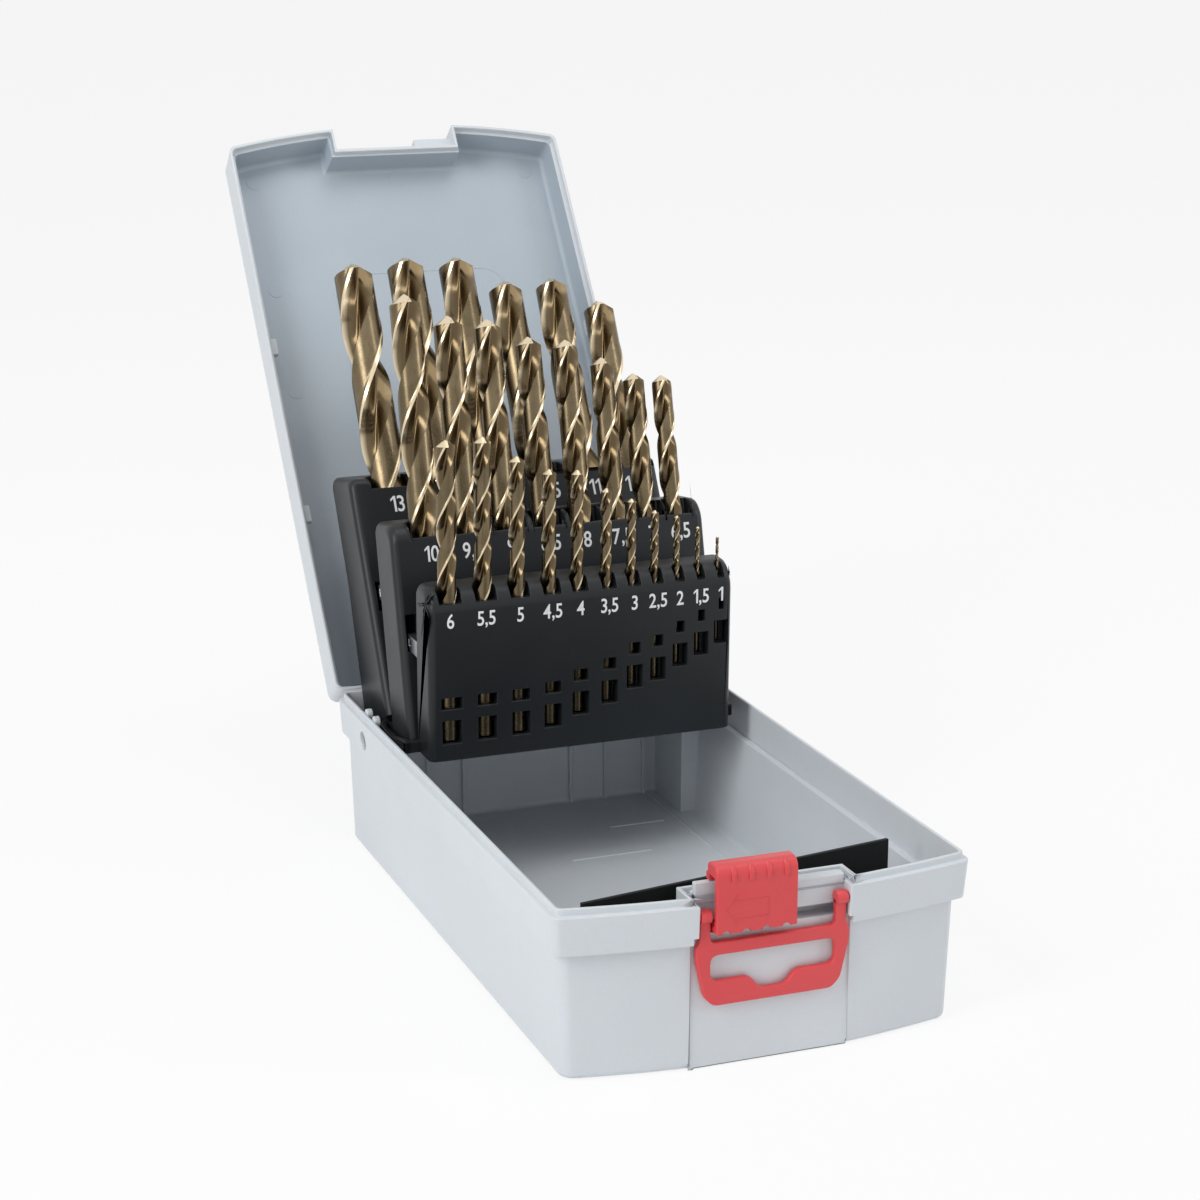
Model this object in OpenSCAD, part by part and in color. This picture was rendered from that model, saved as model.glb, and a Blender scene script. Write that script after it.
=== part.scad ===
// Drill bit case with a hinged lid, three fanning racks and twenty-five twist drills.
// The origin is the middle of the tray's underside; the latch faces -Y and +Z is up.
// The parts are drawn as they stand with the lid open and the racks raised.

/* [Case] */
// width over the tray's rim
case_w = 120; // [110:0.5:140]
// length from the front corners to the rear wall
case_l = 202; // [196:0.5:220]
// how far the front bows out in the middle
bow = 6.5; // [3:0.5:8]
// height of the tray up to its shoulder
tray_h = 47; // [45:0.5:55]
// depth of the lid
lid_h = 14.5; // [13:0.5:22]
// angle the lid swings from closed to fully open
lid_angle = 127; // [100:1:130]
// thickness of the moulded walls
wall = 2; // [1.8:0.1:2.4]
// height of the thicker band round the tray's rim
band_h = 11; // [9:0.5:12]
// how far the band stands proud of the lower wall
band_step = 1.7; // [1:0.1:2]

/* [Racks] */
// height of the front rack above the common pivot
front_top = 57.5; // [52:0.5:60]
// height of the middle rack above the common pivot
middle_top = 68; // [62:0.5:72]
// height of the back rack above the common pivot
back_top = 90; // [84:0.5:94]
// lean of the front rack when the case is open
front_lean = -1; // [-3:0.5:2]
// lean of the middle rack when the case is open
middle_lean = 14; // [10:0.5:16]
// lean of the back rack when the case is open
back_lean = 29.5; // [24:0.5:32]

/* [Latch] */
// width of the sliding latch
latch_w = 23; // [20:0.5:24]
// travel of the sliding latch from open to locked
latch_travel = 11; // [8:0.5:12]
// width of the hanger over its lower corners
hanger_w = 44; // [42:0.5:46]

/* [Fits] */
// free space left between parts that pass each other
gap = 0.3; // [0.3:0.05:0.5]
// running fit round a pin, on the radius
run_fit = 0.06; // [0.02:0.01:0.1]
// space round a drill in its socket, on the radius
socket_gap = 0.3; // [0.3:0.05:0.4]

/* [Hidden] */
grey = [0.83, 0.86, 0.88];
black = [0.15, 0.16, 0.18];
red = [0.84, 0.29, 0.32];
steel = [0.7, 0.71, 0.73];
bronze = [0.5, 0.44, 0.35];
front_y = -case_l / 2;
rear_y = case_l / 2;

// walls of the tray
floor_t = 2.5;
band_draft = 0.7;
foot_inset = 3.5;
low_top = tray_h - band_h;
low_w = case_w - 2 * (band_draft + band_step);
low_front = front_y + band_draft + band_step + 0.5;
low_rear = rear_y - 0.6;
foot_w = case_w - 2 * foot_inset;
foot_front = front_y + foot_inset;
foot_rear = rear_y - 1;
lip_out = 1.4;
lip_in = 2.4;
lip_h = 2;
ledge_z = low_top + 1.5;

// common pivot of the racks
pivot_y = rear_y - 27.5;
pivot_z = tray_h - 6.3;
pivot_r = 2.2;
pin_head_r = 3;
ear_r = 5.3;
boss_r = 5.6;
post_x = case_w / 2 - 10.7;
post_top = pivot_z - 7.7;
post_y = pivot_y + 2;

// hinge of the lid
hinge_y = rear_y + 0.8;
hinge_z = tray_h + 0.85;
hinge_r = 2.9;
hinge_pin_r = 1.2;
knuckle_x = case_w / 2 - 36;
knuckles = [[knuckle_x, knuckle_x + 8.8], [knuckle_x + 9.2, knuckle_x + 16.8],
  [knuckle_x + 17.2, knuckle_x + 25]];
rim_z = tray_h + 0.2;
lid_top = rim_z + lid_h;
lid_front = front_y;
lid_tab_t = 2.6;
lid_taper = 2;

// recess of the latch
recess_x = 21.5;
recess_wall = 2.5;
recess_back = front_y + 3.2;
recess_low = low_top + 1.9;
lip_back = 0.8;
lip_side = 1.4;
panel_x = hanger_w / 2 + 0.8;
panel_y = front_y - 1.8;
rail_front = front_y - 1.4;
rail_t = 2;
rail_low = tray_h - 6;
tab_top = tray_h + 5;
tab_right = 5.5;

// sliding latch
latch_left = -17.4;
latch_front = front_y - 6.7;
latch_t = 2;
latch_low = recess_low + 0.8;
latch_high = tray_h + 10.4;
latch_lip = 3.6;
catch_x0 = 7.7;
catch_z0 = tray_h + 3;
catch_t = 3.4;
lid_back_wall = recess_back - 0.8;

// hanger
arm_in = 17.9;
arm_out = 21;
hang_y = front_y - 3.6;
hang_z = tray_h - 3.6;
hang_t = 2.2;
hang_back = panel_y - gap;
trunnion_r = 1.2;
trunnion_end = 23.2;

// racks: x half width, front face, rear face, bottom, top at the rear, drill line behind the front
// face, depth of the notches, rise of the top towards the rear, front corner, spread of the foot
front_rack = [49.2, -37.4, -24.7, 3.9, front_top, 4.2, 4.6, 0, 7, 0];
middle_rack = [51.6, -24.4, -7.4, 0.3, middle_top, 6.2, 6.1, 0.1, 6, 0];
back_rack = [52.4, -7.1, 13.3, 5.8, back_top, 7.8, 10.6, 0.35, 3, 5];
rack_corner = 2.4;
rack_reach = 200;
front_ear = [52.1, 54.1];
middle_ear = [50, 51.4];
back_ear = [47, 49.2];

// drills: diameter, length, fluted length, x, seat above the pivot
front_drills = [
  [6, 93, 57, -42.2, 9.4], [5.5, 93, 57, -30.9, 9.6], [5, 86, 52, -20.1, 9.8],
  [4.5, 80, 47, -9.8, 11], [4, 76, 43, -0.8, 14], [3.5, 67, 38, 8.6, 16.6],
  [3, 59, 32, 16.8, 20.6], [2.5, 53, 29, 24.5, 22.3], [2, 47, 23, 31.8, 26],
  [1.5, 40, 18, 38.8, 28.9], [1, 33, 12, 45.4, 32.1]];
middle_drills = [
  [10, 133, 87, -38.8, 3.8], [9.5, 125, 81, -25.6, 4.4], [9, 125, 81, -13, 2.6],
  [8.5, 117, 75, 0, 4.3], [8, 117, 75, 12.2, 2.6], [7.5, 109, 69, 23.8, 4.3],
  [7, 104, 67, 34.1, 3.6], [6.5, 101, 63, 43.6, 5.4]];
back_drills = [
  [13, 151, 101, -37.4, 7.6], [12.5, 151, 101, -19.4, 8.8], [12, 151, 101, -2, 7.9],
  [11.5, 142, 94, 13.7, 7.6], [11, 142, 94, 30.1, 7.6], [10.5, 133, 87, 45.4, 7.6]];

// link clips between the racks
clip_x = -48.8;
clip_w = 2.6;
clip_h = 5;
clip_root = 1.8;
clip_f = [33, 11.3];
clip_b = [43, 12.3];

// loose black cards in the front of the tray
card_t = 1.2;
rib_h = 0.4;
diag_a = [-case_w / 2 + 10, front_y + 5.4];
diag_b = [case_w / 2 - 14.6, front_y + 20];
diag_top = tray_h + 0.9;
lean_x = [-foot_w / 2 + wall + 0.5, 24];
lean_low = front_y + 26;
lean_high = front_y + 34;
lean_top = tray_h - 12.7;

// plan of the case: straight sides, bowed front, rounded corners
function bow_y(x, w, yf) = yf - bow * (1 - pow(2 * x / w, 2));
function plan_pts(w, yf, yr, rf, rr) = concat(
  [for (i = [0:6]) let (a = 90 * i / 6) [w / 2 - rr + rr * cos(a), yr - rr + rr * sin(a)]],
  [for (i = [0:6]) let (a = 90 + 90 * i / 6) [-w / 2 + rr + rr * cos(a), yr - rr + rr * sin(a)]],
  [for (i = [0:5]) let (a = 180 + 80 * i / 6)
    [-w / 2 + rf + rf * cos(a), bow_y(w / 2 - rf, w, yf) + rf + rf * sin(a)]],
  [for (i = [0:20]) let (x = (w / 2 - rf) * (i / 10 - 1)) [x, bow_y(x, w, yf)]],
  [for (i = [0:5]) let (a = 360 - 80 * (6 - i - 1) / 6 - 13.3 * (5 - i) / 5)
    [w / 2 - rf + rf * cos(a), bow_y(w / 2 - rf, w, yf) + rf + rf * sin(a)]]);

module slab(w, yf, yr, rf, rr, z, t) {
  translate([0, 0, z]) linear_extrude(height = t) polygon(plan_pts(w, yf, yr, rf, rr));
}

module box(x0, x1, y0, y1, z0, z1) {
  translate([x0, y0, z0]) cube([x1 - x0, y1 - y0, z1 - z0]);
}

module pair_box(x0, x1, y0, y1, z0, z1) {
  box(x0, x1, y0, y1, z0, z1);
  box(-x1, -x0, y0, y1, z0, z1);
}

module x_rod(x0, x1, y, z, r) {
  translate([x0, y, z]) rotate([0, 90, 0]) cylinder(h = x1 - x0, r = r, $fn = 48);
}

module pair_rod(x0, x1, y, z, r) {
  x_rod(x0, x1, y, z, r);
  x_rod(-x1, -x0, y, z, r);
}

module tray_shell() {
  hull() {
    slab(foot_w, foot_front, foot_rear, 5, 5, 0, 0.1);
    slab(low_w, low_front, low_rear, 5, 5, low_top, 0.1);
  }
  hull() {
    slab(case_w - 2 * band_draft, front_y + band_draft, rear_y - 0.2, 3, 3, low_top, 0.1);
    slab(case_w, front_y, rear_y, 3, 3, tray_h - 0.1, 0.1);
  }
  slab(case_w - 2 * lip_out, front_y + lip_out, rear_y - lip_out, 2.2, 2.2, tray_h - 1, lip_h + 1);
}

module tray_hollow() {
  difference() {
    hull() {
      slab(foot_w - 2 * wall, foot_front + wall, foot_rear - wall, 3.5, 3.5, floor_t, 0.1);
      slab(low_w - 2 * wall, low_front + wall, low_rear - wall, 3.5, 3.5, ledge_z, 0.1);
    }
    box(-panel_x - wall, panel_x + wall, front_y - 20, panel_y + wall, 0, tray_h);
    box(-recess_x - recess_wall, recess_x + recess_wall, front_y - 20, recess_back + wall,
      recess_low - wall, tray_h);
  }
  difference() {
    slab(case_w - 2 * lip_in, front_y + lip_in, rear_y - lip_in, 1.8, 1.8, ledge_z, 20);
    box(-recess_x - recess_wall, recess_x + recess_wall, front_y - 20, recess_back + wall,
      ledge_z - 1, ledge_z + 30);
  }
}

module tray() {
  color(grey) difference() {
    union() {
      difference() {
        tray_shell();
        tray_hollow();
      }
      pair_box(post_x, foot_w / 2 - 1, post_y, foot_rear - 1, floor_t - 1, post_top);
      pair_rod(front_ear[1] + 0.6, case_w / 2 - 1.6, pivot_y, pivot_z, boss_r);
      for (x = [-44.6, -31, -18.7, 18.7, 31, 44.6])
        box(x - 0.6, x + 0.6, low_rear - wall - 1.2, low_rear - wall + 1, floor_t - 1, ledge_z);
      for (x = [-45.7, 45.7])
        box(x - 0.5, x + 0.5, front_y + 12, foot_rear - wall, floor_t - 1, floor_t + rib_h);
      box(22, 41, pivot_y - 3.9, pivot_y - 3.3, floor_t - 1, floor_t + 0.3);
      box(0, 27, pivot_y - 27.9, pivot_y - 27.3, floor_t - 1, floor_t + 0.3);
      for (y = [pivot_y - 6, pivot_y + 2])
        pair_rod(case_w / 2 - 4.2, case_w / 2 - lip_in + 0.1, y, tray_h + 1.6, 1.7);
      for (k = [0, 2]) {
        pair_rod(knuckles[k][0], knuckles[k][1], hinge_y, hinge_z, hinge_r);
        pair_box(knuckles[k][0], knuckles[k][1], rear_y - 1.5, hinge_y + 1.6, tray_h - 5, hinge_z);
      }
    }
    box(-recess_x, recess_x, front_y - 20, recess_back, recess_low, tray_h + 10);
    box(-recess_x - lip_side, recess_x + lip_side, front_y - 20, recess_back + lip_back, tray_h,
      tray_h + 10);
    box(-panel_x, panel_x, front_y - 20, panel_y, -1, recess_low);
    pair_rod(knuckles[1][0] - gap, knuckles[1][1] + gap, hinge_y, hinge_z, hinge_r + gap);
    pair_rod(knuckles[0][0] - 1, knuckles[2][1] + 1, hinge_y, hinge_z, hinge_pin_r);
    pair_rod(front_ear[1] - 2, case_w / 2 + 2, pivot_y, pivot_z, pin_head_r);
    pair_rod(recess_x - 1, trunnion_end + gap, hang_y, hang_z, trunnion_r + run_fit);
  }
  color(grey) {
    box(-recess_x - 1, recess_x + 1, rail_front, rail_front + rail_t, rail_low, tray_h);
    box(-recess_x - 1, recess_x + 1, rail_front, recess_back + 1, tray_h - 1.6, tray_h);
    box(-recess_x, recess_x, rail_front, lid_back_wall - gap, tray_h - 1, tray_h + lip_h);
    box(-recess_x, tab_right, rail_front, rail_front + rail_t, tray_h, tab_top);
  }
}

module lid_shut() {
  difference() {
    union() {
      difference() {
        hull() {
          slab(case_w, lid_front, rear_y, 3, 3, rim_z, 0.1);
          slab(case_w - 1, lid_front + 0.5, rear_y - 0.3, 3, 3, lid_top - lid_taper, 0.1);
          slab(case_w - 2 * lid_taper - 1, lid_front + lid_taper, rear_y - lid_taper, 3, 3,
            lid_top - 0.1, 0.1);
        }
        difference() {
          slab(case_w - 2 * wall - 0.2, lid_front + wall, rear_y - wall, 2, 2, rim_z - 1,
            lid_h - wall + 1);
          box(-recess_x - wall, recess_x + wall, front_y - 20, lid_back_wall + wall, 0, 99);
        }
        difference() {
          slab(case_w - 2.1, lid_front + 1.05, rear_y - 1.05, 2, 2, rim_z - 1, lip_h + 1.3);
          box(-recess_x + 0.9 - wall, recess_x - 0.9 + wall, front_y - 20,
            lid_back_wall + 1.3, 0, 99);
        }
      }
      pair_rod(knuckles[1][0], knuckles[1][1], hinge_y, hinge_z, hinge_r);
    }
    box(-recess_x - gap, recess_x + gap, front_y - 20, lid_back_wall, 0, 99);
    for (k = [0, 2])
      pair_rod(knuckles[k][0] - gap, knuckles[k][1] + gap, hinge_y, hinge_z, hinge_r + gap);
    pair_rod(knuckles[0][0] - 1, knuckles[2][1] + 1, hinge_y, hinge_z, hinge_pin_r + run_fit);
  }
  box(catch_x0, recess_x + 1, rail_front - 0.4, lid_back_wall + 1, catch_z0, catch_z0 + catch_t);
  for (y = [front_y + 73, rear_y - 67])
    pair_box(case_w / 2 - 4.2, case_w / 2 - 1.5, y, y + 6, rim_z + 3.4, rim_z + 3.4 + lid_tab_t);
}

module lid() {
  color(grey) translate([0, hinge_y, hinge_z]) rotate([-lid_angle, 0, 0])
    translate([0, -hinge_y, -hinge_z]) lid_shut();
}

module hinge_pin(side) {
  color(steel) x_rod(min(side * knuckles[0][0], side * knuckles[2][1]),
    max(side * knuckles[0][0], side * knuckles[2][1]), hinge_y, hinge_z, hinge_pin_r);
}

module pivot_pin(side) {
  color(steel) mirror([side < 0 ? 1 : 0, 0, 0]) {
    x_rod(back_ear[0] - 0.6, front_ear[1] + 2, pivot_y, pivot_z, pivot_r);
    x_rod(front_ear[1] + 0.6, case_w / 2 - 1.6, pivot_y, pivot_z, pin_head_r);
  }
}

module on_rack(lean) {
  translate([0, pivot_y, pivot_z]) rotate([-lean, 0, 0]) children();
}

function top_at(k, y) = k[4] - k[7] * (k[2] - y);

function past(a, b) = 2 * b - a;

function side_pts(k) = let (r = k[8], b = atan(k[7]),
  arc = [for (i = [0:6]) let (a = 90 + b + (90 - b) * i / 6)
    [k[1] + r + r * cos(a), top_at(k, k[1] + r) - r / cos(b) + r * sin(a)]],
  edge = [[k[2], k[4] - 1.5], [k[2] - 1.5, top_at(k, k[2] - 1.5)]],
  front = past(arc[5], arc[6]))
  concat([[front[0], k[3]]],
    k[9] > 0 ? [[k[2] + k[9], k[3]], [k[2] + k[9], k[3] + 8], [k[2], k[3] + 49]] : [[k[2], k[3]]],
    [edge[0], past(edge[0], edge[1]), past(arc[1], arc[0])], [for (i = [1:5]) arc[i]], [front]);

function end_pts(k, r) = let (
  arc = [for (i = [0:5]) let (a = 18 * i) [k[0] - r + r * cos(a), r * sin(a) - r]],
  side = past(arc[1], arc[0]))
  concat([[-side[0], -rack_reach], [side[0], -rack_reach], side], [for (i = [1:5]) arc[i]],
    [for (i = [5:-1:1]) [-arc[i][0], arc[i][1]]], [[-side[0], side[1]]]);

function top_pts(k, r) = concat([[k[0], k[2] + k[9] + 1], [-k[0], k[2] + k[9] + 1]],
  [for (i = [0:5]) let (a = 180 + 18 * i) [-k[0] + r + r * cos(a), k[1] + r + r * sin(a)]],
  [for (i = [0:5]) let (a = 270 + 18 * i) [k[0] - r + r * cos(a), k[1] + r + r * sin(a)]]);

module rack_block(k) {
  intersection() {
    rotate([90, 0, 90]) translate([0, 0, -k[0] - 1]) linear_extrude(height = 2 * k[0] + 2)
      polygon(side_pts(k));
    translate([0, 0, k[3] - 1]) linear_extrude(height = k[4] - k[3] + 2)
      polygon(top_pts(k, rack_corner));
    translate([0, k[2], k[4]]) rotate([atan(k[7]) + 90, 0, 0]) translate([0, 0, -rack_reach])
      linear_extrude(height = 2 * rack_reach) polygon(end_pts(k, rack_corner));
  }
}

module sockets(k, drills, spare) {
  for (d = drills) {
    r = d[0] / 2 + socket_gap;
    translate([d[3], k[1] + k[5], d[4] - gap]) cylinder(h = k[4] - d[4] + 2, r = r, $fn = 32);
    box(d[3] - r - spare, d[3] + r + spare, k[1] - 1, k[1] + k[5], k[4] - k[6], k[4] + 1);
  }
}

module ear(e, pts) {
  for (s = [-1, 1]) rotate([90, 0, 90]) translate([0, 0, s > 0 ? e[0] : -e[1]])
    linear_extrude(height = e[1] - e[0]) union() {
      polygon(pts);
      circle(r = ear_r, $fn = 48);
    }
}

module rack_front() {
  color(black) on_rack(front_lean) difference() {
    union() {
      rack_block(front_rack);
      pair_box(front_rack[0] - 3, front_ear[1], -27.7, -25.2, 4.2, 7.8);
      ear(front_ear, [[-27.7, 4.2], [-27.7, 7.8], [-25.2, 7.8], [-12, 4.9], [0, 4.9], [0, -ear_r],
        [-4, -3.4], [-8, 0.6]]);
    }
    sockets(front_rack, front_drills, 0.3);
    for (d = front_drills) {
      w = d[0] * 0.22 + 1.2;
      box(d[3] - w - 0.3, d[3] + w + 0.3, front_rack[1] - 1, front_rack[1] + front_rack[5],
        d[4] - 0.1, d[4] + 7.2);
      box(d[3] - w, d[3] + w, front_rack[1] - 1, front_rack[1] + front_rack[5],
        d[4] + 10.8, d[4] + 14.4);
    }
    pair_rod(front_ear[0] - 1, front_ear[1] + 1, 0, 0, pivot_r + run_fit);
    box(clip_x, clip_x + clip_w, front_rack[2] - clip_root, front_rack[2] + 1, clip_f[0],
      clip_f[0] + clip_h);
  }
}

module rack_middle() {
  color(black) on_rack(middle_lean) difference() {
    union() {
      rack_block(middle_rack);
      ear(middle_ear, [[-22, 2], [-22, 10], [-7.4, 10], [-7.4, 5], [0, ear_r], [0, -ear_r], [-6, -1.6]]);
    }
    sockets(middle_rack, middle_drills, 0.8);
    pair_rod(middle_ear[0] - 1, middle_ear[1] + 1, 0, 0, pivot_r + run_fit);
    box(clip_x - 0.5, clip_x + clip_w + 0.5, middle_rack[1] - 1, front_rack[2] + clip_f[1] + 0.5,
      clip_f[0] - 5.5, clip_f[0] + clip_h + 0.8);
    box(clip_x, clip_x + clip_w, middle_rack[2] - clip_root, middle_rack[2] + 1, clip_b[0],
      clip_b[0] + clip_h);
  }
}

module rack_back() {
  color(black) on_rack(back_lean) difference() {
    union() {
      rack_block(back_rack);
      ear(back_ear, [[-ear_r, 0], [-ear_r, 8], [ear_r, 8], [ear_r, 0]]);
    }
    sockets(back_rack, back_drills, 1);
    pair_rod(back_ear[0] - 1, back_ear[1] + 1, 0, 0, pivot_r + run_fit);
    box(clip_x - 0.5, clip_x + clip_w + 0.5, back_rack[1] - 1, middle_rack[2] + clip_b[1] + 0.5,
      clip_b[0] - 3.6, clip_b[0] + clip_h + 0.8);
  }
}

module link_clip(k, c) {
  color(steel) box(clip_x, clip_x + clip_w, k[2] - clip_root, k[2] + c[1], c[0], c[0] + clip_h);
}

module link_clip_front() {
  on_rack(front_lean) link_clip(front_rack, clip_f);
}

module link_clip_back() {
  on_rack(middle_lean) link_clip(middle_rack, clip_b);
}

module latch_slider() {
  x0 = latch_left;
  x1 = latch_left + latch_w;
  yi = latch_front + latch_t;
  hook_y = rail_front + rail_t + gap;
  color(red) difference() {
    rotate([90, 0, 90]) translate([0, 0, x0]) linear_extrude(height = latch_w) polygon(concat(
      [[latch_front, latch_low], [hook_y + 1.9, latch_low], [hook_y + 1.9, rail_low + 3],
        [hook_y, rail_low + 3], [hook_y, rail_low - gap], [yi, rail_low - gap],
        [yi, latch_high - latch_lip], [front_y, latch_high - latch_lip], [front_y, latch_high - 1.5]],
      [for (i = [0:3]) let (a = 22.5 * i) [front_y - 1.5 + 1.5 * cos(a), latch_high - 1.5 + 1.5 * sin(a)]],
      [for (i = [0:6]) let (a = 90 + 15 * i)
        [latch_front + 3 + 3 * cos(a), latch_high - 3 + 3 * sin(a)]]));
    for (i = [0:3]) translate([x0 + 2.9 + i * 5.7, latch_front - 1, latch_low - 0.4])
      rotate([-90, 0, 0]) cylinder(h = 2, r = 1.2, $fn = 24);
  }
  color(red) box(x0, x0 + 7, rail_front, rail_front + rail_t, tab_top + gap,
    latch_high - latch_lip + 0.5);
  color(red) for (i = [0:3]) translate([x0 + 4 + i * 5, latch_front + 2.6, latch_high - 3.2])
    rotate([0, 90, 0]) cylinder(h = 1.4, r = 3.1, $fn = 32);
}

module hanger() {
  y0 = hang_back - hang_t;
  h = hanger_w / 2;
  color(red) difference() {
    union() {
      translate([0, hang_back, hang_z]) rotate([90, 0, 0]) linear_extrude(height = hang_t) difference() {
        polygon([[-arm_out, 0], [-arm_out, -7.8], [-h, -7.8], [-h, -12.4], [-h + 2.4, -22.8],
          [-h + 5, -25.4], [h - 5, -25.4], [h - 2.4, -22.8], [h, -12.4], [h, -7.8], [arm_out, -7.8],
          [arm_out, 0]]);
        translate([-arm_in, -7.5]) square([2 * arm_in, 20]);
        polygon([[-arm_in + 1, -11.2], [-arm_in, -12.4], [-arm_in, -16.4], [-arm_in + 2, -18.4],
          [-6, -18.4], [-4.4, -20.8], [-2, -22.2], [2, -22.2], [4.4, -20.8], [6, -18.4],
          [arm_in - 2, -18.4], [arm_in, -16.4], [arm_in, -12.4], [arm_in - 1, -11.2]]);
      }
      pair_rod(arm_in, arm_out, hang_y, hang_z, 1.9);
      pair_rod(arm_out - 0.5, trunnion_end, hang_y, hang_z, trunnion_r);
    }
  }
}

module card_diagonal() {
  a = atan2(diag_b[1] - diag_a[1], diag_b[0] - diag_a[0]);
  n = norm(diag_b - diag_a);
  color(black) translate([diag_a[0], diag_a[1], floor_t]) rotate([0, 0, a])
    cube([n, card_t, diag_top - floor_t]);
}

module card_leaning() {
  color(black) rotate([90, 0, 90]) translate([0, 0, lean_x[0]])
    linear_extrude(height = lean_x[1] - lean_x[0]) polygon([[lean_low, floor_t + rib_h],
      [lean_low + card_t, floor_t + rib_h], [lean_high, lean_top], [lean_high - card_t, lean_top]]);
}

function drill_ring(r, k, z, turn) = [for (i = [0:11]) let (m = i % 6,
  f = m == 3 ? 0.4 : (m == 2 || m == 4 ? 0.66 : 0.985)) [r * k * f * cos(30 * i + turn),
  r * k * f * sin(30 * i + turn), z]];

module flutes(r, z0, z1, z2, turn, steps) {
  rings = [for (i = [0:steps]) drill_ring(r, 1, z0 + (z1 - z0) * i / steps, turn * i / steps)];
  pts = concat([for (g = rings, p = g) p], drill_ring(r, 0.12, z2, turn));
  sides = [for (i = [0:steps], j = [0:11]) let (a = 12 * i + j, b = 12 * i + (j + 1) % 12)
    [[a, a + 12, b + 12], [a, b + 12, b]]];
  polyhedron(points = pts, faces = concat([for (f = sides, t = f) t], [[for (j = [0:11]) j]],
    [[for (j = [11:-1:0]) 12 * (steps + 1) + j]]));
}

module drill(k, lean, d) {
  r = d[0] / 2;
  shank = d[1] - d[2];
  point = r * 0.41;
  turn = 360 * d[2] * tan(28) / (PI * d[0]);
  color(bronze) on_rack(lean) translate([d[3], k[1] + k[5], d[4]]) {
    rotate_extrude($fn = 24) polygon([[0, 0], [r * 0.8, 0], [r, r * 0.2], [r, shank], [0, shank]]);
    flutes(r, shank - 0.5, d[1] - point, d[1], turn, min(14, ceil(turn / 40)));
  }
}

tray();
lid();
hinge_pin(-1);  // hinge_pin_left
hinge_pin(1);  // hinge_pin_right
pivot_pin(-1);  // pivot_pin_left
pivot_pin(1);  // pivot_pin_right
rack_front();
rack_middle();
rack_back();
link_clip_front();
link_clip_back();
latch_slider();
hanger();
card_diagonal();
card_leaning();
drill(front_rack, front_lean, front_drills[10]);  // drill_1_0
drill(front_rack, front_lean, front_drills[9]);  // drill_1_5
drill(front_rack, front_lean, front_drills[8]);  // drill_2_0
drill(front_rack, front_lean, front_drills[7]);  // drill_2_5
drill(front_rack, front_lean, front_drills[6]);  // drill_3_0
drill(front_rack, front_lean, front_drills[5]);  // drill_3_5
drill(front_rack, front_lean, front_drills[4]);  // drill_4_0
drill(front_rack, front_lean, front_drills[3]);  // drill_4_5
drill(front_rack, front_lean, front_drills[2]);  // drill_5_0
drill(front_rack, front_lean, front_drills[1]);  // drill_5_5
drill(front_rack, front_lean, front_drills[0]);  // drill_6_0
drill(middle_rack, middle_lean, middle_drills[7]);  // drill_6_5
drill(middle_rack, middle_lean, middle_drills[6]);  // drill_7_0
drill(middle_rack, middle_lean, middle_drills[5]);  // drill_7_5
drill(middle_rack, middle_lean, middle_drills[4]);  // drill_8_0
drill(middle_rack, middle_lean, middle_drills[3]);  // drill_8_5
drill(middle_rack, middle_lean, middle_drills[2]);  // drill_9_0
drill(middle_rack, middle_lean, middle_drills[1]);  // drill_9_5
drill(middle_rack, middle_lean, middle_drills[0]);  // drill_10_0
drill(back_rack, back_lean, back_drills[5]);  // drill_10_5
drill(back_rack, back_lean, back_drills[4]);  // drill_11_0
drill(back_rack, back_lean, back_drills[3]);  // drill_11_5
drill(back_rack, back_lean, back_drills[2]);  // drill_12_0
drill(back_rack, back_lean, back_drills[1]);  // drill_12_5
drill(back_rack, back_lean, back_drills[0]);  // drill_13_0
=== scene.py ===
"""Looks for a drill bit case: pale grey plastic, three black racks, bronze drills and a red latch."""
import math
from collections import namedtuple

import bmesh
import bpy
from mathutils import Matrix, Vector


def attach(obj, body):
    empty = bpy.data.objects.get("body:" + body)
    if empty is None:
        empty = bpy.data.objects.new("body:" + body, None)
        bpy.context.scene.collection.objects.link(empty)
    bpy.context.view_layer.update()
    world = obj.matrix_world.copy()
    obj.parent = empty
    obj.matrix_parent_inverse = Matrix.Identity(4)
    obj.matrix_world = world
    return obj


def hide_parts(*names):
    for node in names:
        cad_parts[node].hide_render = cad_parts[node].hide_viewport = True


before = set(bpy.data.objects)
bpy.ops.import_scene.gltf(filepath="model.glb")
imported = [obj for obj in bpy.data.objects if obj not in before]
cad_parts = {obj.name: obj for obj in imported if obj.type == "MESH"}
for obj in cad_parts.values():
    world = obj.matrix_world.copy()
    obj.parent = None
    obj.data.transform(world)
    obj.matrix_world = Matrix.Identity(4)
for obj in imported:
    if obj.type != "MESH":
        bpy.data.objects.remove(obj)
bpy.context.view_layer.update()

MM = 0.001

# Places and sizes shared with the part, in millimetres.
PIVOT = Vector((0, 73.5, 40.7))
HINGE = Vector((0, 101.8, 47.85))
KNUCKLE_R = 2.9
KNUCKLES = ((24, 32.8), (33.2, 40.8), (41.2, 49))
LID_ANGLE = 127
# the case over its band, and how far the front bows out at its middle
WIDTH, FRONT, REAR = 120, -101, 101
BOW = 6.5
# the lower wall's width, front and rear at the foot, and what each gains up to the band
FOOT, FOOT_GAIN = (113, -97.5, 100), (2.2, -0.6, 0.4)
# heights of the band's foot, the shoulder under the lid, the lip, the tray's floor and the lid's top
BAND, SHOULDER, LIP, FLOOR, LID_TOP = 36, 47, 49, 2.5, 61.7
WALL = 2
# the flat panel under the latch and the recess above it: half width and Y, and the recess's sill
PANEL, RECESS, SILL = (22.8, -102.8), (21.5, -97.8), 37.9
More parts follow.
